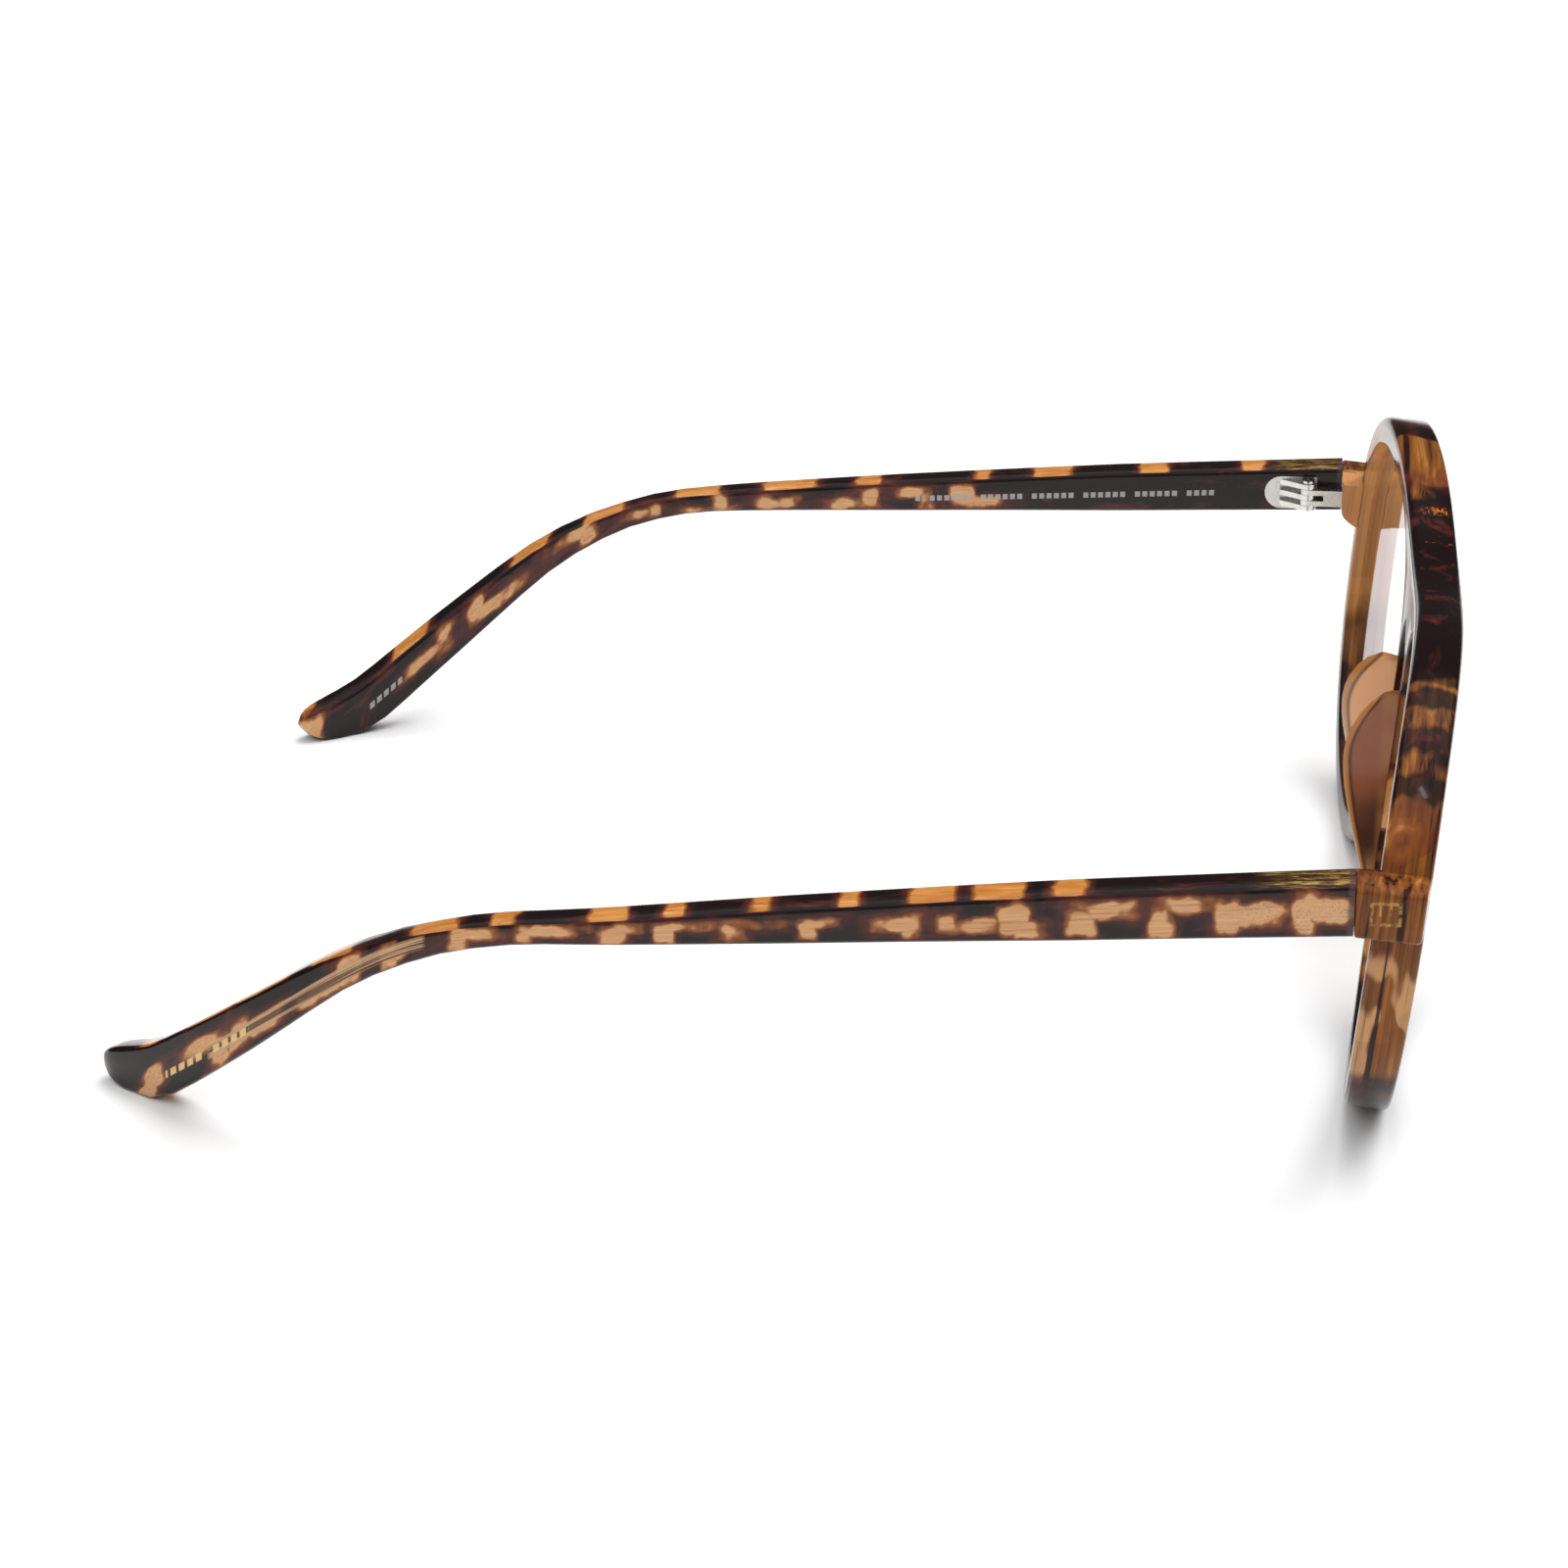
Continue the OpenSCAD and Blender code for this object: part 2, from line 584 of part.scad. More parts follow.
// Foot of the front leaf that is sunk in the endpiece, grown by a fit gap
module foot_shape(g) {
    translate([foot_x - g, seam_y + foot_y - g, pin_z - stack / 2 - g])
        cube([foot_w + 2 * g, past - foot_y + g, stack + 2 * g]);
    for (s = [-1, 1]) {
        translate([pin_x - prong_w / 2 - g, seam_y + prong_y, pin_z + s * prong_z - prong_h / 2 - g])
            cube([prong_w + 2 * g, foot_y - prong_y, prong_h + 2 * g]);
        translate([pin_x, seam_y + prong_y, pin_z + s * prong_z - prong_h / 2 - g])
            cylinder(r = barb_r + g, h = prong_h + 2 * g, $fn = fine);
    }
}

module front_leaf(right) {
    color(steel) side(right)
    difference() {
        union() {
            intersection() {
                foot_shape(0);
                translate([0, seam_y + 2 * small - ground_size, 0]) cube(ground_size);
            }
            translate([pin_x - barrel_r, seam_y + small, pin_z - stack / 2 + pitch])
                cube([2 * barrel_r, block_end - small, 2 * pitch + knuckle]);
            for (k = [1, 3]) {
                on_pin(barrel_r, k * pitch, knuckle);
                translate([pin_x - barrel_r, seam_y + block_end - small, pin_z - stack / 2 + k * pitch])
                    cube([2 * barrel_r, pin_back - block_end + small, knuckle]);
            }
        }
        on_pin(bore_r, -past, stack + 2 * past);
    }
}
module front_hinge_leaf_right() { front_leaf(true); }
module front_hinge_leaf_left() { front_leaf(false); }

// Hinge screw: slotted head on the top knuckle, shank through all five
module hinge_screw(right) {
    color(steel) side(right)
    difference() {
        union() {
            on_pin(screw_r, -screw_under, stack + screw_under + small);
            on_pin(head_r, stack + small, head_t);
        }
        translate([pin_x - head_r - past, seam_y + pin_back - slot_w / 2,
                   pin_z + stack / 2 + head_t - slot_deep + small])
            cube([2 * (head_r + past), slot_w, slot_deep + past]);
    }
}
module hinge_screw_right() { hinge_screw(true); }
module hinge_screw_left() { hinge_screw(false); }

front_frame();
lens_right();
lens_left();
nose_pad_right();
nose_pad_left();
front_hinge_leaf_right();
front_hinge_leaf_left();
temple_hinge_leaf_right();
temple_hinge_leaf_left();
hinge_screw_right();
hinge_screw_left();
temple_right();
temple_left();
core_wire_right();
core_wire_left();
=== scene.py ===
"""Folding reading glasses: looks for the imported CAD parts.

The shapes come from the CAD; this script gives every part its material, draws
the stamped marks as part of it, and makes the floor, lights and camera.
Lengths in the patterns are millimetres in the rest pose. Bump depths, lights
and the camera are in metres.
"""
import math
import random

import bpy
from mathutils import Matrix, Vector


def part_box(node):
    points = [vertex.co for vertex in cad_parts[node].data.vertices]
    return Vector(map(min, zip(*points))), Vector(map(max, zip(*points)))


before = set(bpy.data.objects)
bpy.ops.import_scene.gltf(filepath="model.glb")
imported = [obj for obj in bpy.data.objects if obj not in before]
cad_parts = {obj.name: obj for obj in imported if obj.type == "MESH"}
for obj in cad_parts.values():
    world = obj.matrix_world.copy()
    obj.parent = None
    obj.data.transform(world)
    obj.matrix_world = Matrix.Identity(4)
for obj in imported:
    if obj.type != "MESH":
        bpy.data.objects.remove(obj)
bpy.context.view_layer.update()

# Sizes the temple patterns follow, in millimetres
SEAM_Y = -64.6        # where the temples meet the front
TEMPLE_Z = 36.45      # middle of the temple at the seam
DROP = 0.070          # slope of the straight part, as height per length
BEND_Y = 101.4        # corner of the bend, measured from the seam
BEND_SLOPE = 0.807    # slope behind the ear
BEND_SOFT = 0.222     # how sharply one slope turns into the other, per millimetre
WAIST = 75.0          # where the temple windows are slimmest, from the seam
SLIM = 0.42           # their size there, as a share of the boldest
WIRE_MID = 113.0      # middle of the stretch where the core wire shows through
WIRE_HALF = 13.5      # half its length

# Sizes the pattern of the front follows
EYE_X = 35.6          # middle of a lens
EYE_Z = 31.0
LEAN = 0.0875         # slope of the front, as depth per height
BOW = 0.00088         # curve of the front, as depth per square of the distance from a lens
FACE_Y = -76.0        # front face at the middle of a lens
FOOT_Y = -67.8        # middle of the hinge foot inside the endpiece
FOOT_Z = 36.4
PAD_Z = 28.5          # height at which a nose pad stands furthest back
PAD_Y = -64.38        # its free edge there
PAD_ROOT_Y = -68.6    # where it meets the rim
# Dark bars across the upper outer part of the right rim: place in x, half width, softness
BARS = ((-48.8, 2.0, 0.6), (-55.8, 1.8, 0.6), (-61.6, 1.3, 0.5))

# Colours, linear
DARK = (0.0085, 0.0038, 0.0040)
MAROON = (0.075, 0.014, 0.012)
BROWN = (0.120, 0.040, 0.014)
AMBER = (0.260, 0.088, 0.014)
ORANGE = (0.40, 0.135, 0.022)
HONEY = (0.460, 0.205, 0.052)
PEACH = (0.56, 0.290, 0.130)
TAN = (0.50, 0.330, 0.190)
GOLD = (0.72, 0.500, 0.200)
CREAM = (0.70, 0.46, 0.25)
BRASS = (0.62, 0.30, 0.075)
RED_HALO = (0.100, 0.020, 0.012)
# Painted light: amber painted paler where light is painted shining through the left rim
PAINTED_GLOW_AMBER = (0.50, 0.225, 0.075)
PALE_PEACH = (0.52, 0.275, 0.125)
SMOKE = (0.085, 0.026, 0.012)
FROST_LIGHT = (0.62, 0.42, 0.26)
FROST_DARK = (0.14, 0.065, 0.030)
WIRE_DARK = (0.050, 0.022, 0.012)
WIRE_LIGHT = (0.46, 0.29, 0.15)
GLITTER_DARK = (0.030, 0.014, 0.006)
GLITTER_LIGHT = (0.52, 0.30, 0.075)
SEAM_DARK = (0.075, 0.030, 0.032)
# Painted glint: bright orange painted into the acetate where it glints
PAINTED_GLINT_ORANGE = (0.95, 0.24, 0.030)
FOOT_GOLD = (0.62, 0.36, 0.10)
PAD_RED = (0.260, 0.080, 0.034)
# Painted light: the left pad is painted paler than the right
PAD_PAINTED_LIT = (0.600, 0.300, 0.140)
PAD_DARK = (0.060, 0.020, 0.010)
PAD_PAINTED_LIT_LOW = (0.300, 0.110, 0.040)
PAD_FOOT = (0.360, 0.170, 0.060)
PAD_LINE = (0.045, 0.016, 0.009)
PAD_EDGE = (0.420, 0.180, 0.050)
PAD_ROOT = (0.300, 0.120, 0.036)
GREY = (0.34, 0.33, 0.33)
BACKDROP = (1.0, 1.0, 1.0)

# Rows of plain stamped bars: start, stop, height above the middle line, bar height, pitch
RIGHT_ROWS = [(121.0, 132.5, 0.0, 0.9, 1.2)]
LEFT_ROWS = [(17.0, 58.0, 0.0, 0.75, 1.0), (128.0, 133.0, -0.6, 0.9, 0.9)]

# Camera: angles in degrees, focal length in millimetres, place in metres
VIEW_TURN = 6.433
VIEW_DOWN = 22.859
VIEW_TILT = -0.147
VIEW_LENS = 97.016
VIEW_PLACE = (-0.47858, -0.05026, 0.22125)


# --- arithmetic on shader sockets ---------------------------------------------

class Num:
    """A number worked out by nodes, used with ordinary arithmetic."""

    def __init__(self, tree, socket):
        self.tree = tree
        self.socket = socket

    def op(self, kind, *others):
        n = self.tree.nodes.new("ShaderNodeMath")
        n.operation = kind
        self.tree.links.new(self.socket, n.inputs[0])
        for i, other in enumerate(others, 1):
            if isinstance(other, Num):
                self.tree.links.new(other.socket, n.inputs[i])
            else:
                n.inputs[i].default_value = other
        return Num(self.tree, n.outputs[0])

    def __add__(self, o):
        return self.op("ADD", o)

    def __sub__(self, o):
        return self.op("SUBTRACT", o)

    def __mul__(self, o):
        return self.op("MULTIPLY", o)

    def __truediv__(self, o):
        return self.op("DIVIDE", o)

    def abs(self):
        return self.op("ABSOLUTE")

    def min(self, o):
        return self.op("MINIMUM", o)

    def max(self, o):
        return self.op("MAXIMUM", o)

    def step(self, low, high):
        """0 at low, 1 at high, smooth between; low may be the larger."""
        n = self.tree.nodes.new("ShaderNodeMapRange")
        n.interpolation_type = "SMOOTHSTEP"
        self.tree.links.new(self.socket, n.inputs[0])
        flip = low > high
        n.inputs[1].default_value = min(low, high)
        n.inputs[2].default_value = max(low, high)
        n.inputs[3].default_value = 1.0 if flip else 0.0
        n.inputs[4].default_value = 0.0 if flip else 1.0
        return Num(self.tree, n.outputs[0])

    def within(self, centre, half, soft):
        """1 inside a band, 0 outside."""
        return (self - centre).abs().step(half + soft, half - soft)


class Paint:
    """A material being built, with the coordinates its pattern uses."""

    def __init__(self, name):
        self.material = bpy.data.materials.new(name)
        self.material.use_nodes = True
        self.tree = self.material.node_tree
        self.tree.nodes.clear()
        self.out = self.tree.nodes.new("ShaderNodeOutputMaterial")
        self.bsdf = self.tree.nodes.new("ShaderNodeBsdfPrincipled")
        self.link(self.bsdf.outputs[0], self.out.inputs[0])
        coord = self.tree.nodes.new("ShaderNodeTexCoord")
        scale = self.tree.nodes.new("ShaderNodeVectorMath")
        scale.operation = "SCALE"
        scale.inputs[3].default_value = 1000.0
        self.link(coord.outputs["Object"], scale.inputs[0])
        self.place = scale.outputs[0]
        self.x, self.y, self.z = self.split(self.place)
        self.nx, self.ny, self.nz = self.split(coord.outputs["Normal"])

    def link(self, a, b):
        self.tree.links.new(a, b)

    def split(self, socket):
        n = self.tree.nodes.new("ShaderNodeSeparateXYZ")
        self.link(socket, n.inputs[0])
        return [Num(self.tree, o) for o in n.outputs]

    def vector(self, x, y, z=0.0):
        n = self.tree.nodes.new("ShaderNodeCombineXYZ")
        for i, value in enumerate((x, y, z)):
            if isinstance(value, Num):
                self.link(value.socket, n.inputs[i])
            else:
                n.inputs[i].default_value = value
        return n.outputs[0]

    def stretch(self, vector, factors, shift=(0, 0, 0)):
        n = self.tree.nodes.new("ShaderNodeVectorMath")
        n.operation = "MULTIPLY_ADD"
        self.link(vector, n.inputs[0])
        n.inputs[1].default_value = factors
        n.inputs[2].default_value = shift
        return n.outputs[0]

    def noise(self, vector, scale, detail=2.0, rough=0.5, warp=0.0):
        n = self.tree.nodes.new("ShaderNodeTexNoise")
        self.link(vector, n.inputs["Vector"])
        n.inputs["Scale"].default_value = scale
        n.inputs["Detail"].default_value = detail
        n.inputs["Roughness"].default_value = rough
        n.inputs["Distortion"].default_value = warp
        return Num(self.tree, n.outputs[0])

    def cells(self, vector, scale):
        """Distance to the nearest cell centre, and a random number per cell."""
        n = self.tree.nodes.new("ShaderNodeTexVoronoi")
        n.distance = "MINKOWSKI"
        self.link(vector, n.inputs["Vector"])
        n.inputs["Scale"].default_value = scale
        n.inputs["Exponent"].default_value = 3.5
        n.inputs["Randomness"].default_value = 0.9
        pick = self.tree.nodes.new("ShaderNodeSeparateColor")
        self.link(n.outputs["Color"], pick.inputs[0])
        return Num(self.tree, n.outputs["Distance"]), Num(self.tree, pick.outputs[0])

    def mix(self, share, a, b):
        """Colour a where share is 0 and b where it is 1."""
        n = self.tree.nodes.new("ShaderNodeMix")
        n.data_type = "RGBA"
        if isinstance(share, Num):
            self.link(share.socket, n.inputs[0])
        else:
            n.inputs[0].default_value = share
        for socket, value in ((n.inputs[6], a), (n.inputs[7], b)):
            if isinstance(value, tuple):
                socket.default_value = (*value, 1.0)
            else:
                self.link(value, socket)
        return n.outputs[2]

    def bump(self, height, distance, strength=1.0, under=None):
        n = self.tree.nodes.new("ShaderNodeBump")
        n.inputs["Strength"].default_value = strength
        n.inputs["Distance"].default_value = distance
        self.link(height.socket, n.inputs["Height"])
        if under is not None:
            self.link(under, n.inputs["Normal"])
        return n.outputs[0]

    def set(self, **values):
        for key, value in values.items():
            socket = self.bsdf.inputs[key.replace("_", " ")]
            if isinstance(value, Num):
                self.link(value.socket, socket)
            elif isinstance(value, bpy.types.NodeSocket):
                self.link(value, socket)
            else:
                socket.default_value = value


# --- windows: the light places in the dark sheet ---------------------------------

def windows(paint, vector, spots):
    """About the distance in millimetres to the edge of the nearest window, less than 0 inside.

    Each spot is (along, up, half length, half height) of a rounded rectangle."""
    nearest = None
    for along, up, half_l, half_h in spots:
        local = paint.stretch(vector, (1 / half_l, 1 / half_h, 0),
                              (-along / half_l, -up / half_h, 0))
        square = paint.tree.nodes.new("ShaderNodeVectorMath")
        square.operation = "MULTIPLY"
        paint.link(local, square.inputs[0])
        paint.link(local, square.inputs[1])
        size = paint.tree.nodes.new("ShaderNodeVectorMath")
        size.operation = "LENGTH"
        paint.link(square.outputs[0], size.inputs[0])
        reach = min(half_l, half_h) / 2
        edge = Num(paint.tree, size.outputs["Value"]).op("MULTIPLY_ADD", reach, -reach)
        nearest = edge if nearest is None else nearest.min(edge)
    return nearest


def wild(paint, vector, length, seed, share):
    """Windows in no particular place, as about the distance in millimetres to their edge."""
    scale = (1 / length, 2.2 / length, 2.2 / length)
    shift = (seed, seed * 0.37, seed * 0.71)
    near, pick = paint.cells(paint.stretch(vector, scale, shift), 1.0)
    is_window = pick.step(1 - share - 0.1, 1 - share + 0.1)
    return (near - is_window * 0.42) * (length / 2) + 0.25


def grouped(seed, start, stop, pitch):
    """Windows along the side of a temple, in groups of a flat bar and an upright stub.

    They are bold near the hinge and on the tip, and slim between. Each one is
    (along, up, half length, half height), from start to stop and about pitch apart."""
    dice = random.Random(seed)
    spots = []
    along = start
    while along < stop:
        bold = SLIM + (1 - SLIM) * abs(along / WAIST - 1) ** 1.5
        up = dice.uniform(-1.9, 1.9) * bold
        length = dice.uniform(1.6, 3.6)
        spots.append((along, up, length, dice.uniform(0.8, 1.5) * bold + 0.1))
        end = dice.choice((-0.8, 0.8)) * length
        spots.append((along + end, -up * 0.3, dice.uniform(0.9, 1.6),
                      dice.uniform(1.5, 2.9) * bold))
        along += pitch * dice.uniform(0.8, 1.2)
    return spots


def light_end():
    """The window that the left temple ends in, at the tip of its paddle."""
    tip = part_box("temple_left")[1].y * 1000 - SEAM_Y
    return tip - 1.0, 0.5, 2.8, 5.0


def in_row(seed, start, stop, pitch):
    """Windows right across the top of a temple, one after the other."""
    dice = random.Random(seed)
    spots = []
    along = start
    while along < stop:
        spots.append((along, 0, dice.uniform(1.0, 3.6), 3))
        along += pitch * dice.uniform(0.7, 1.3)
    return spots


# --- the spotted acetate ---------------------------------------------------------

def ground(p, cloud, zones):
    """The dark of the sheet with red-brown clouds, and amber where a zone asks for it."""
    dark = p.mix(cloud.step(0.52, 0.66) * 0.65, DARK, MAROON)
    dark = p.mix(cloud.step(0.64, 0.76) * 0.5, dark, BROWN)
    if "amber" not in zones:
        return dark
    drawn = p.noise(zones["drawn"], 1.0, 4.0, 0.62)
    amber = p.mix(drawn.step(0.42, 0.60), BROWN, AMBER)
    amber = p.mix(drawn.step(0.56, 0.68) * 0.8, amber, HONEY)
    # Painted light: on the left rim the amber is painted paler, with fewer dark streaks, for light
    # shining through it
    amber = p.mix(zones["painted_glow"], amber, PAINTED_GLOW_AMBER)
    amber = p.mix(zones["peach"], amber, PALE_PEACH)
    amber = p.mix(zones["smoke"] * 0.75, amber, SMOKE)
    amber = p.mix(drawn.step(0.45, 0.38) * (zones["painted_glow"] * -0.9 + 0.9), amber, DARK)
    return p.mix(zones["amber"], dark, amber)


def window_light(p, sheet, golden):
    """Peach to tan, or golden, with fine lines drawn out along the sheet."""
    light = p.noise(p.stretch(sheet, (0.25, 0.8, 0.8)), 1.0, 2.0)
    peach = p.mix(light.step(0.40, 0.75) * 0.45, PEACH, TAN)
    gold = p.mix(light.step(0.35, 0.70) * 0.45, ORANGE, BRASS)
    glow = p.mix(golden, peach, gold)
    lines = p.noise(p.stretch(sheet, (0.045, 3.2, 3.2)), 1.0, 3.0, 0.75)
    glow = p.mix(lines.step(0.565, 0.63) * 0.45, glow, p.mix(0.4, BROWN, ORANGE))
    return p.mix(lines.step(0.43, 0.38) * 0.40, glow, CREAM)


def overlays(p, body, sheet, inside, zones):
    """What only some zones show: the core wire, frosting, glitter, the seam, painted glints and the
    marks.
    """
    if "strip" in zones:
        wires = p.noise(zones["wires"], 1.0, 2.0, 0.7)
        body = p.mix(zones["strip"], body, p.mix(wires.step(0.46, 0.52), WIRE_DARK, WIRE_LIGHT))
    if "frost" in zones:
        speck = p.noise(sheet, 8.0, 1.0, 0.6)
        frost = zones["frost"] * inside
        body = p.mix(frost * speck.step(0.44, 0.66) * 0.50, body, FROST_LIGHT)
        body = p.mix(frost * speck.step(0.44, 0.30) * 0.45, body, FROST_DARK)
    if "glitter" in zones:
        strands = p.noise(p.stretch(sheet, (0.22, 4.0, 4.0)), 1.0, 3.0, 0.8)
        lit = p.mix(strands.step(0.50, 0.66), GLITTER_DARK, GLITTER_LIGHT)
        body = p.mix(zones["glitter"], body, lit)
    if "band" in zones:
        body = p.mix(zones["band"], body, SEAM_DARK)
    # Painted orange glints, painted into the colour
    if "painted_glint" in zones:
        body = p.mix(zones["painted_glint"], body, PAINTED_GLINT_ORANGE)
    return p.mix(zones["mark"], body, zones["mark_colour"])


def acetate(name, make_fields, gloss=1.0):
    """Tortoise acetate. make_fields(paint) gives the distance to the windows, the
    coordinates along, across and through the sheet, and masks for the zones."""
    p = Paint(name)
    field, along, across, through, zones = make_fields(p)
    sheet = p.vector(along, across, through)
    # Windows with a ragged edge, a fringe and a red halo on the cloudy dark
    ragged = p.noise(sheet, 0.42, 2.0, 0.45)
    fine = p.noise(p.stretch(sheet, (0.8, 2.4, 2.4)), 1.0, 3.0, 0.6)
    edge = field + 0.12 + (ragged - 0.5) * 1.6 + (fine - 0.5) * 0.12
    cloud = p.noise(p.stretch(sheet, (0.11, 0.30, 0.30)), 1.0, 3.0, 0.6, 0.6)
    inside = edge.step(0.08, -0.22)
    fringe = edge.step(0.45, 0.0)
    halo = edge.step(1.8, 0.2) * cloud.step(0.30, 0.55)
    body = p.mix(halo * 0.65, ground(p, cloud, zones), RED_HALO)
    body = p.mix(fringe, body, p.mix(0.45, MAROON, ORANGE))
    body = p.mix(inside, body, window_light(p, sheet, zones["golden"]))
    body = overlays(p, body, sheet, inside, zones)
    # Polished surface with faint wear and hairlines
    wear = p.noise(p.stretch(sheet, (0.35, 1.6, 1.6)), 1.0, 5.0, 0.7)
    hair = p.noise(p.stretch(sheet, (0.5, 9.0, 9.0), (3, 7, 1)), 1.0, 4.0, 0.8)
    swell = p.bump(p.noise(sheet, 0.28, 1.0), 0.00002, 0.6)
    grain = p.bump(p.noise(sheet, 7.0, 3.0, 0.6), 0.0000020, 0.5, swell)
    p.set(Base_Color=body, Roughness=wear * 0.10 + hair.step(0.60, 0.75) * 0.12 + 0.10,
          Normal=grain, IOR=1.49, Specular_IOR_Level=0.22 * gloss,
          Coat_Weight=0.16 * gloss, Coat_Roughness=0.03, Coat_IOR=1.45)
    return p.material


def temple_line(p):
    """Distance from the seam and height above the middle line of a temple."""
    along = p.y - SEAM_Y
    past = (along - BEND_Y) * BEND_SOFT
    turn = (past.op("EXPONENT") + 1.0).op("LOGARITHM", math.e) / BEND_SOFT
    middle = along * -DROP - turn * (BEND_SLOPE - DROP) + TEMPLE_Z
    return along, p.z - middle


def stamped_rows(along, up, rows):
    """Mask of plain bars in rows, with every seventh bar left out."""
    mask = None
    for start, stop, centre, height, pitch in rows:
        row = along.within((start + stop) / 2, (stop - start) / 2, 0.05)
        bar = (along / pitch).op("FRACT").within(0.5, 0.34, 0.04)
        bar = bar * (along / (pitch * 7)).op("FRACT").step(0.13, 0.14)
        row = row * bar * ((up - centre).abs() - height / 2).step(0.04, -0.04)
        mask = row if mask is None else mask.max(row)
    return mask


def temple_fields(side, top, rows, ink, clear):
    """Pattern of one temple: side windows on its face towards -X, top windows above and
    free ones elsewhere. A clear temple is frosted near the hinge and shows its wire."""
    def fields(p):
        along, up = temple_line(p)
        sway = p.noise(p.stretch(p.place, (0.2, 0.2, 0.2)), 1.0, 1.0)
        on_side = windows(p, p.vector(along + (sway - 0.5) * 1.2, up, 0.0), side)
        across = (p.x.abs() - 66.0) * 0.2
        on_top = windows(p, p.vector(along, across, 0.0), top)
        other = wild(p, p.vector(along, p.x, up), length=7.5, seed=5.3, share=0.52)
        is_top = p.nz.step(0.50, 0.72)
        facing = (p.nx * -1.0).step(-0.15, 0.25) * p.nz.step(-0.80, -0.55)
        field = on_side + (on_top - on_side) * is_top
        field = other + (field - other) * facing.max(is_top)
        ragged_end = p.noise(p.stretch(p.place, (0.5, 0.3, 0.5)), 1.0, 2.0)
        zones = {
            "golden": is_top * 0.85 + 0.10,
            "glitter": is_top * (along + ragged_end * 5.0).step(14.0, 9.0),
            "band": along.step(1.0, 0.5) * 0.8,
            "mark": stamped_rows(along, up, rows) * facing * p.nz.step(0.45, 0.30) * 0.85,
            "mark_colour": ink,
        }
        if clear:
            wire = (up + (along - WIRE_MID) * 0.02).within(0.2, 0.85, 0.12)
            zones["strip"] = wire * along.within(WIRE_MID, WIRE_HALF, 0.3) * facing * 0.85
            zones["wires"] = p.vector(along * 0.02, up * 1.9)
            zones["frost"] = along.step(17.0, 9.0) * facing
        return field, along, up, p.x, zones
    return fields


def hinge_foot(p, glint):
    """The metal foot of the hinge, which shows through the endpiece as bright outlines."""
    foot_y = (p.y - FOOT_Y).abs() - 1.5
    foot_z = (p.z - FOOT_Z).abs() - 1.2
    box = foot_y.max(foot_z).abs().step(0.28, 0.08)
    rungs = (p.y * 0.9).op("FRACT").within(0.5, 0.10, 0.06) * foot_z.step(0.0, -0.3)
    return box.max(rungs * foot_y.step(0.0, -0.3)) * glint * 0.5


def painted_glints(p, deep, brow):
    """Painted orange glints: in the corner by the left hinge and on two lines across the brow."""
    flare = p.noise(p.stretch(p.place, (0.9, 2.6, 0.9), (4.0, 1.0, 9.0)), 1.0, 3.0, 0.7)
    wide = p.x.within(15.7, 0.7, 0.9) * flare.step(0.48, 0.66) * (deep - 2.6).abs().step(2.2, 1.0)
    fine = p.x.within(6.5, 0.08, 0.2) * flare.step(0.50, 0.60) * 0.35
    corner = p.x.step(66.5, 70.5) * p.z.step(34.5, 31.8) * deep.step(5.0, 8.0)
    return (corner * flare.step(0.36, 0.56) * 0.85).max(wide.max(fine) * brow * 0.9)


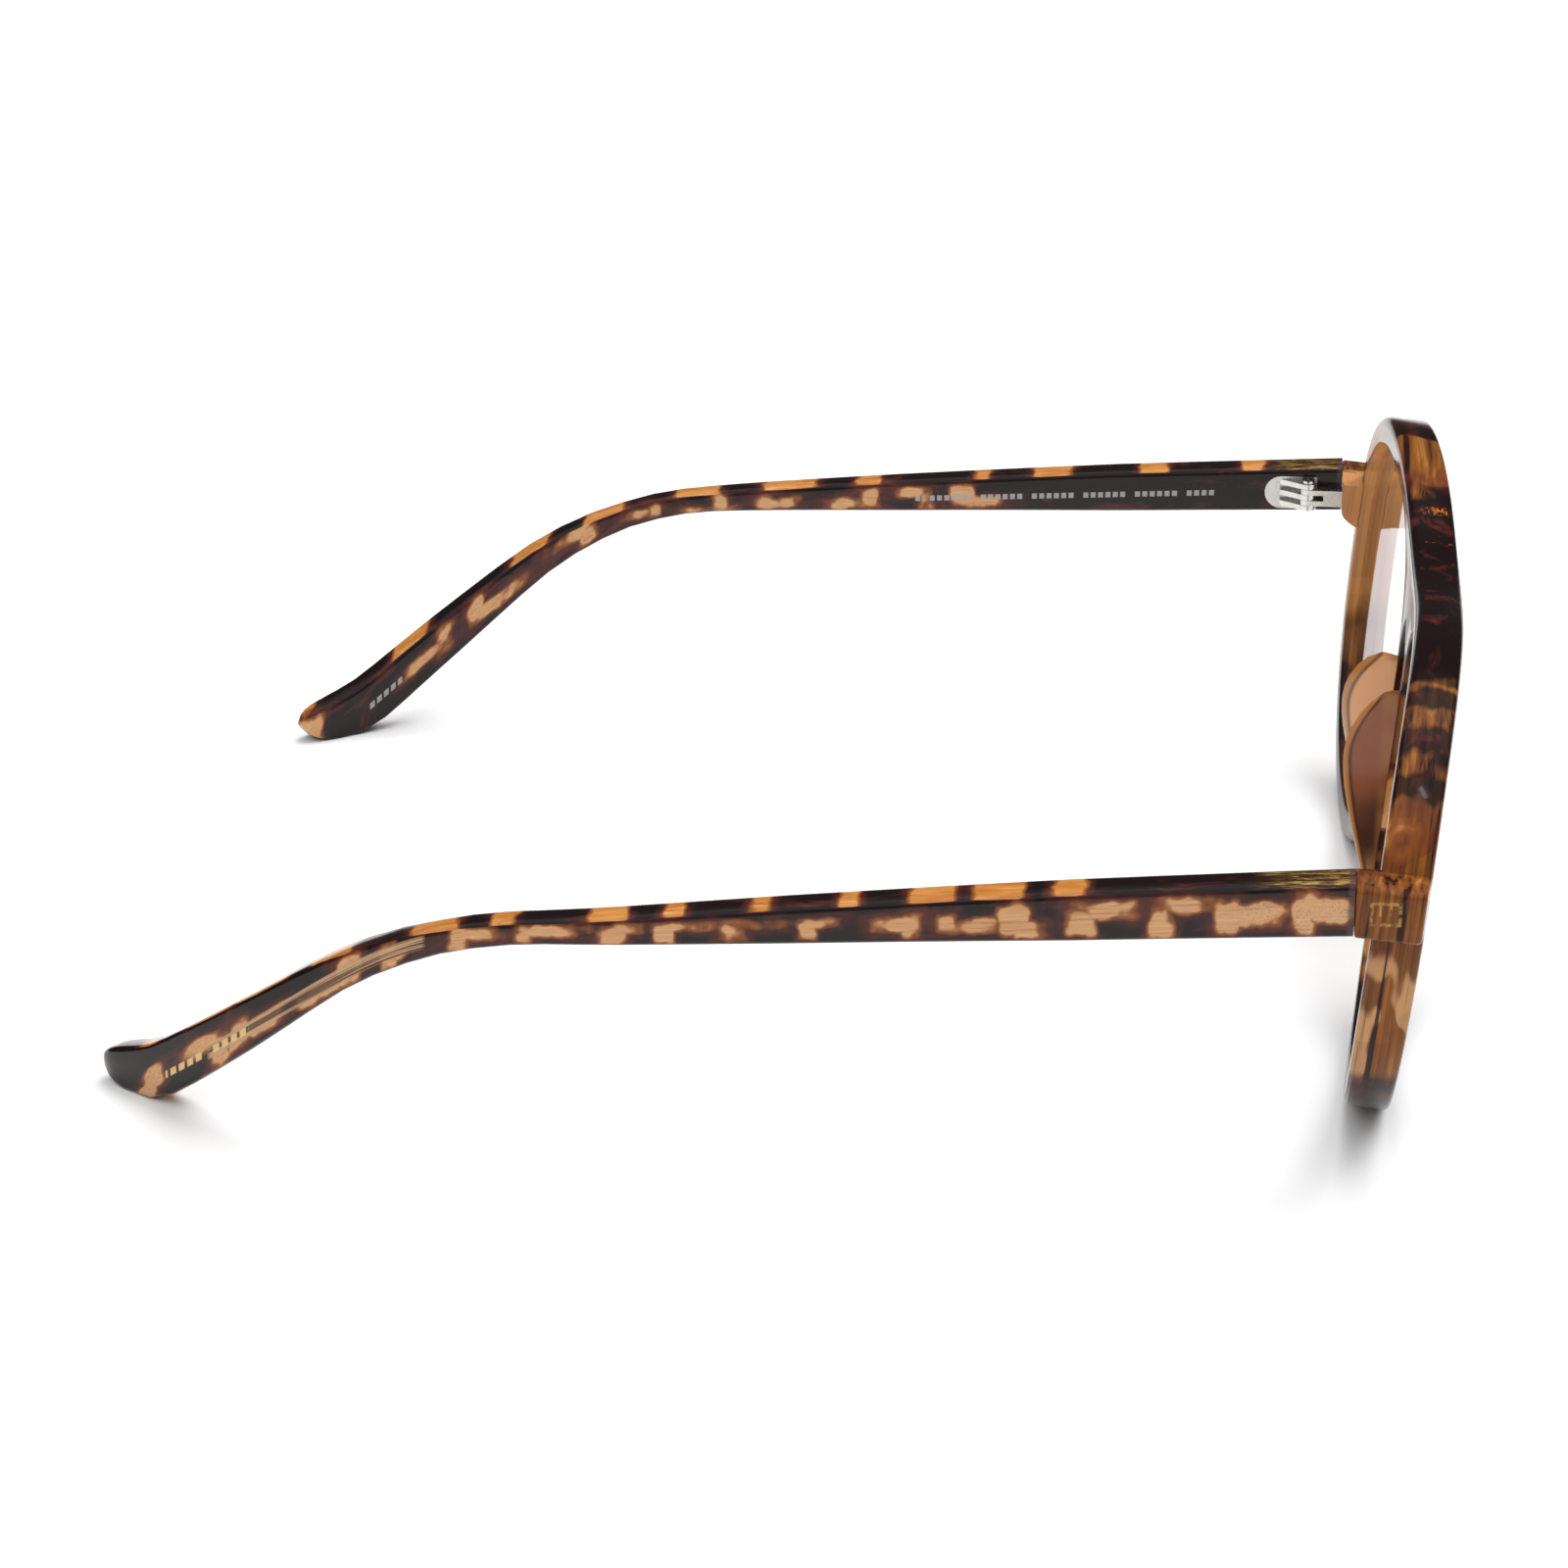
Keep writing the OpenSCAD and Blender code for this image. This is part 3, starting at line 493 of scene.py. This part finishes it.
def front_fields(p):
    """Pattern of the front: amber drawn out round each eye, dark patches and a dark brow."""
    off = p.x.abs() - EYE_X
    high = p.z - EYE_Z
    out = (off * off + high * high).op("SQRT")
    turn = high.op("ARCTAN2", off)
    # Depth behind the front face, which leans and is bowed
    deep = p.y + high * LEAN - off * off * BOW - FACE_Y
    near, pick = p.cells(p.stretch(p.place, (1 / 11, 1 / 22, 1 / 8), (3.4, 0.0, 1.7)), 1.0)
    field = (near - pick.step(0.58, 0.70) * 0.50) * 4.0 + 0.35
    # Dark places: the brow, the bridge, bars across the right rim, and the lower edges
    brow = high.step(13.0, 18.0)
    bridge = (p.x + 12.0).abs().step(32.0, 27.0) * high.step(6.0, 11.0)
    sway = (p.noise(p.stretch(p.place, (0.2, 0.5, 0.2)), 1.0, 1.0) - 0.5) * 3.0
    bars = [(p.x + sway).within(*bar) for bar in BARS]
    cross = bars[0].max(bars[1]).max(bars[2]) * high.step(6.0, 10.0)
    outer_right = p.x.step(-48.0, -55.0)
    low = p.z.step(9.0, 3.0).max(p.z.step(13.8, 11.8) * outer_right)
    # Clear places: the outer rims, the endpieces, and patches elsewhere
    right_rim = outer_right * p.z.step(30.5, 28.5) * p.z.step(10.0, 12.0)
    # The left rim is clear only on faces turned towards -X, and is painted paler there: painted
    # light shining through the rim
    left_rim = p.x.step(40.0, 50.0) * p.z.step(12.0, 20.0) * p.nx.step(0.10, -0.30)
    on_end = p.x.abs().step(67.5, 69.5) * p.z.step(30.0, 31.5)
    patch = p.noise(p.stretch(p.place, (0.085, 0.05, 0.13), (1.0, 5.0, 2.0)), 1.0, 2.0, 0.5)
    clear = patch.step(0.54, 0.47).max(left_rim * 0.9).max(right_rim * 0.85).max(on_end * 0.85)
    dark = (low * -0.85 + 1.0) * (brow * -0.25 + 1.0) * (bridge * -1.0 + 1.0) * (cross * -0.9 + 1.0)
    spot = p.noise(p.stretch(p.place, (0.15, 0.42, 0.13), (2.0, 3.0, 8.0)), 1.0, 1.0)
    glint = p.noise(p.place, 0.9, 3.0, 0.7).step(0.40, 0.62)
    zones = {
        "golden": high.step(-20.0, 0.0) * 0.9,
        "amber": clear * dark,
        # painted light: the left rim painted paler, as if lit through
        "painted_glow": left_rim * (on_end * -0.7 + 1.0) * 0.8,
        "peach": right_rim * spot.step(0.48, 0.56) * 0.85,
        "smoke": left_rim * (p.z + (spot - 0.5) * 8.0).step(24.0, 19.0),
        "drawn": p.vector(deep * 0.80, turn * 0.35, out * 0.22),
        "mark": on_end * hinge_foot(p, glint),
        "mark_colour": FOOT_GOLD,
        "painted_glint": painted_glints(p, deep, brow),
    }
    # No windows in the dark and clear places
    field = field + brow * 1.2 + low * 6.0 + bridge * 3.0 + cross * 1.5
    field = field + left_rim + right_rim * 1.5 + on_end * 1.5
    return field, p.x * 0.8 + p.z * 0.6, deep, out, zones


def pad_material():
    """Clear brown pad, paler on the left side (painted light: the left pad is painted lighter than
    the right, as if lit more): dark lower down, golden at its foot and edge.
    """
    p = Paint("acetate_pad")
    haze = p.noise(p.place, 0.13, 1.5)
    left = p.x.step(-2.0, 2.0)
    high = p.z + (haze - 0.5) * 7.0
    # The free edge curves forward below and above the place where it stands furthest back
    below = (p.z * -1.0 + PAD_Z).max(0.0).op("POWER", 1.5) * 0.053
    above = (p.z - PAD_Z).max(0.0).op("POWER", 2.0) * 0.0665
    from_edge = (below + above + p.y - PAD_Y) * -1.0
    # Painted light: the left pad gets lighter copies of the right pad's colours
    body = p.mix(left, PAD_RED, PAD_PAINTED_LIT)
    body = p.mix(high.step(26.0, 21.0), body, p.mix(left, PAD_DARK, PAD_PAINTED_LIT_LOW))
    body = p.mix(high.step(19.5, 15.5), body, PAD_FOOT)
    body = p.mix(from_edge.step(1.15, 0.75) * 0.8, body, PAD_LINE)
    body = p.mix(from_edge.step(0.75, 0.40) * 0.9, body, PAD_EDGE)
    root = (p.y - PAD_ROOT_Y).step(0.4, -0.7) * haze.step(0.38, 0.56)
    body = p.mix(root * 0.8, body, PAD_ROOT)
    wear = p.noise(p.place, 1.1, 5.0, 0.7)
    p.set(Base_Color=body, Roughness=wear * 0.14 + 0.06, IOR=1.49,
          Normal=p.bump(p.noise(p.place, 0.5, 2.0), 0.00002, 0.5),
          Subsurface_Weight=0.2, Subsurface_Radius=(1.0, 0.45, 0.25), Subsurface_Scale=0.0012,
          Specular_IOR_Level=0.25, Coat_Weight=0.2, Coat_Roughness=0.03, Coat_IOR=1.5)
    return p.material


# --- metal and lens --------------------------------------------------------------

def metal(name, colour, rough, brush):
    """Bright plated metal with fine turning and polishing lines."""
    p = Paint(name)
    lines = p.noise(p.stretch(p.place, brush), 1.0, 4.0, 0.7)
    smear = p.noise(p.place, 0.9, 3.0, 0.6)
    tint = p.mix(smear.step(0.35, 0.75) * 0.35, colour, tuple(c * 0.72 for c in colour))
    p.set(Base_Color=tint, Metallic=1.0,
          Roughness=lines * 0.14 + smear * 0.10 + rough,
          Normal=p.bump(lines, 0.000004, 0.7))
    return p.material


def lens_material():
    """Clear coated lens: sees through, mirrors with a faint violet tint."""
    p = Paint("lens_clear")
    tree = p.tree
    tree.nodes.remove(p.bsdf)
    clear = tree.nodes.new("ShaderNodeBsdfTransparent")
    film = p.noise(p.place, 0.05, 3.0, 0.6)
    p.link(p.mix(film, (0.950, 0.954, 0.966), (0.968, 0.968, 0.974)), clear.inputs[0])
    shine = tree.nodes.new("ShaderNodeBsdfGlossy")
    p.link(p.mix(film.step(0.35, 0.70), (0.93, 0.92, 0.97), (0.97, 0.97, 0.99)),
           shine.inputs["Color"])
    smudge = p.noise(p.place, 0.16, 5.0, 0.65)
    p.link((smudge.step(0.52, 0.80) * 0.07 + 0.015).socket, shine.inputs["Roughness"])
    share = tree.nodes.new("ShaderNodeFresnel")
    share.inputs["IOR"].default_value = 1.45
    inside = Num(tree, tree.nodes.new("ShaderNodeNewGeometry").outputs["Backfacing"])
    mixed = tree.nodes.new("ShaderNodeMixShader")
    p.link((Num(tree, share.outputs[0]) * (inside * -1.0 + 1.0)).socket, mixed.inputs[0])
    p.link(clear.outputs[0], mixed.inputs[1])
    p.link(shine.outputs[0], mixed.inputs[2])
    p.link(mixed.outputs[0], p.out.inputs[0])
    return p.material


# --- smooth shading --------------------------------------------------------------

def smoother(limit_deg):
    """A modifier that joins the split corners of the CAD mesh and shades its curved
    faces smoothly, leaving edges above the limit sharp."""
    tree = bpy.data.node_groups.new(f"smooth_{limit_deg}", "GeometryNodeTree")
    tree.interface.new_socket("Geometry", in_out="INPUT", socket_type="NodeSocketGeometry")
    tree.interface.new_socket("Geometry", in_out="OUTPUT", socket_type="NodeSocketGeometry")
    start = tree.nodes.new("NodeGroupInput")
    end = tree.nodes.new("NodeGroupOutput")
    plain = tree.nodes.new("GeometryNodeRemoveAttribute")
    plain.inputs["Name"].default_value = "custom_normal"
    weld = tree.nodes.new("GeometryNodeMergeByDistance")
    weld.inputs["Distance"].default_value = 2e-6
    faces = tree.nodes.new("GeometryNodeSetShadeSmooth")
    faces.inputs["Shade Smooth"].default_value = True
    edges = tree.nodes.new("GeometryNodeSetShadeSmooth")
    edges.domain = "EDGE"
    angle = tree.nodes.new("GeometryNodeInputMeshEdgeAngle")
    below = tree.nodes.new("FunctionNodeCompare")
    below.operation = "LESS_THAN"
    below.inputs[1].default_value = math.radians(limit_deg)
    tree.links.new(angle.outputs["Unsigned Angle"], below.inputs[0])
    tree.links.new(below.outputs[0], edges.inputs["Shade Smooth"])
    chain = [start.outputs[0], plain, weld, faces, edges]
    socket = chain[0]
    for n in chain[1:]:
        tree.links.new(socket, n.inputs["Geometry"])
        socket = n.outputs["Geometry"]
    tree.links.new(socket, end.inputs[0])
    return tree


soft = smoother(32)
crisp = smoother(20)

looks = {
    "front_frame": acetate("acetate_front", front_fields, gloss=0.55),
    "temple_right": acetate("acetate_temple_right", temple_fields(
        side=grouped(seed=33, start=3.0, stop=139.0, pitch=7.5),
        top=in_row(seed=7, start=30.0, stop=136.0, pitch=9.5),
        rows=RIGHT_ROWS, ink=GOLD, clear=True)),
    "temple_left": acetate("acetate_temple_left", temple_fields(
        side=grouped(seed=21, start=49.0, stop=134.0, pitch=9.0) + [light_end()],
        top=in_row(seed=3, start=12.0, stop=143.0, pitch=13.0),
        rows=LEFT_ROWS, ink=GREY, clear=False)),
    "nose_pad": pad_material(),
    "lens": lens_material(),
    "front_hinge_leaf": metal("hinge_silver", (0.66, 0.64, 0.60), 0.14, (0.8, 8, 8)),
    "hinge_screw": metal("screw_steel", (0.60, 0.59, 0.57), 0.10, (9, 9, 0.6)),
    "core_wire": metal("core_wire", (0.74, 0.60, 0.42), 0.16, (7, 0.4, 7)),
}
looks["temple_hinge_leaf"] = looks["front_hinge_leaf"]

for name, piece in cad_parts.items():
    kind = next(k for k in sorted(looks, key=len, reverse=True) if name.startswith(k))
    piece.data.materials.clear()
    piece.data.materials.append(looks[kind])
    shade = piece.modifiers.new("smooth", "NODES")
    shade.node_group = crisp if "hinge" in name else soft


# --- floor, light and camera -----------------------------------------------------

def floor():
    """Pale floor that runs into the background far from the object."""
    bpy.ops.mesh.primitive_plane_add(size=12)
    plane = bpy.context.object
    plane.name = "floor"
    p = Paint("floor_white")
    mottled = p.noise(p.place, 0.004, 3.0)
    p.set(Base_Color=p.mix(mottled, (0.86, 0.86, 0.86), (0.89, 0.89, 0.89)),
          Roughness=0.6, Specular_IOR_Level=0.2)
    far = p.tree.nodes.new("ShaderNodeVectorMath")
    far.operation = "LENGTH"
    p.link(p.place, far.inputs[0])
    path = p.tree.nodes.new("ShaderNodeLightPath")
    share = Num(p.tree, far.outputs["Value"]).step(250.0, 900.0) * Num(
        p.tree, path.outputs["Is Camera Ray"])
    glow = p.tree.nodes.new("ShaderNodeEmission")
    glow.inputs[0].default_value = (*BACKDROP, 1.0)
    mixed = p.tree.nodes.new("ShaderNodeMixShader")
    p.link(share.socket, mixed.inputs[0])
    p.link(p.bsdf.outputs[0], mixed.inputs[1])
    p.link(glow.outputs[0], mixed.inputs[2])
    p.link(mixed.outputs[0], p.out.inputs[0])
    plane.data.materials.append(p.material)


def sky():
    """Pale all round for the eye; what the gloss mirrors is darker behind the object."""
    world = bpy.data.worlds.new("studio")
    bpy.context.scene.world = world
    world.use_nodes = True
    tree = world.node_tree
    tree.nodes.clear()
    out = tree.nodes.new("ShaderNodeOutputWorld")
    coord = tree.nodes.new("ShaderNodeTexCoord")
    parts = tree.nodes.new("ShaderNodeSeparateXYZ")
    tree.links.new(coord.outputs["Generated"], parts.inputs[0])
    x, y, z = [Num(tree, o) for o in parts.outputs]
    seen = tree.nodes.new("ShaderNodeBackground")
    seen.inputs[0].default_value = (*BACKDROP, 1)
    seen.inputs[1].default_value = 1.0
    room = tree.nodes.new("ShaderNodeBackground")
    level = z.step(0.40, 0.90) * 0.85 + (x * -1.0).step(-0.1, 0.9) * 0.22 + 0.04
    room.inputs[0].default_value = (1.0, 1.0, 1.0, 1)
    tree.links.new(level.socket, room.inputs[1])
    path = tree.nodes.new("ShaderNodeLightPath")
    mixed = tree.nodes.new("ShaderNodeMixShader")
    tree.links.new(path.outputs["Is Camera Ray"], mixed.inputs[0])
    tree.links.new(room.outputs[0], mixed.inputs[1])
    tree.links.new(seen.outputs[0], mixed.inputs[2])
    tree.links.new(mixed.outputs[0], out.inputs[0])


def area(name, place, target, width, height, watts, mirrored):
    """A soft lamp at place, turned to target; the gloss shows it only if mirrored."""
    data = bpy.data.lights.new(name, "AREA")
    data.shape = "RECTANGLE"
    data.size = width
    data.size_y = height
    data.energy = watts
    lamp = bpy.data.objects.new(name, data)
    bpy.context.collection.objects.link(lamp)
    lamp.location = place
    lamp.visible_glossy = mirrored
    way = Vector(target) - Vector(place)
    lamp.rotation_euler = way.to_track_quat("-Z", "Y").to_euler()


def camera():
    """The eye stands to the wearer's right, a little above the glasses."""
    turn, down, tilt = math.radians(VIEW_TURN), math.radians(VIEW_DOWN), math.radians(VIEW_TILT)
    look = Vector((math.cos(down) * math.cos(turn), math.cos(down) * math.sin(turn),
                   -math.sin(down)))
    right = look.cross(Vector((0, 0, 1))).normalized()
    up = right.cross(look)
    right, up = (right * math.cos(tilt) + up * math.sin(tilt),
                 up * math.cos(tilt) - right * math.sin(tilt))
    data = bpy.data.cameras.new("camera")
    data.sensor_width = 36.0
    data.lens = VIEW_LENS
    eye = bpy.data.objects.new("camera", data)
    bpy.context.collection.objects.link(eye)
    grid = Matrix((right, up, -look)).transposed().to_4x4()
    grid.translation = Vector(VIEW_PLACE)
    eye.matrix_world = grid
    bpy.context.scene.camera = eye


floor()
sky()
area("key_soft", (0.45, -0.35, 1.1), (0, 0, 0), 1.1, 1.1, 17.0, False)
area("fill_soft", (-0.9, 0.5, 1.0), (0, 0, 0.02), 1.2, 1.0, 7.5, False)
area("glint", (-0.35, -0.25, 0.95), (0, 0, 0.02), 0.05, 0.16, 0.35, True)
camera()
bpy.context.scene.view_settings.view_transform = "Standard"
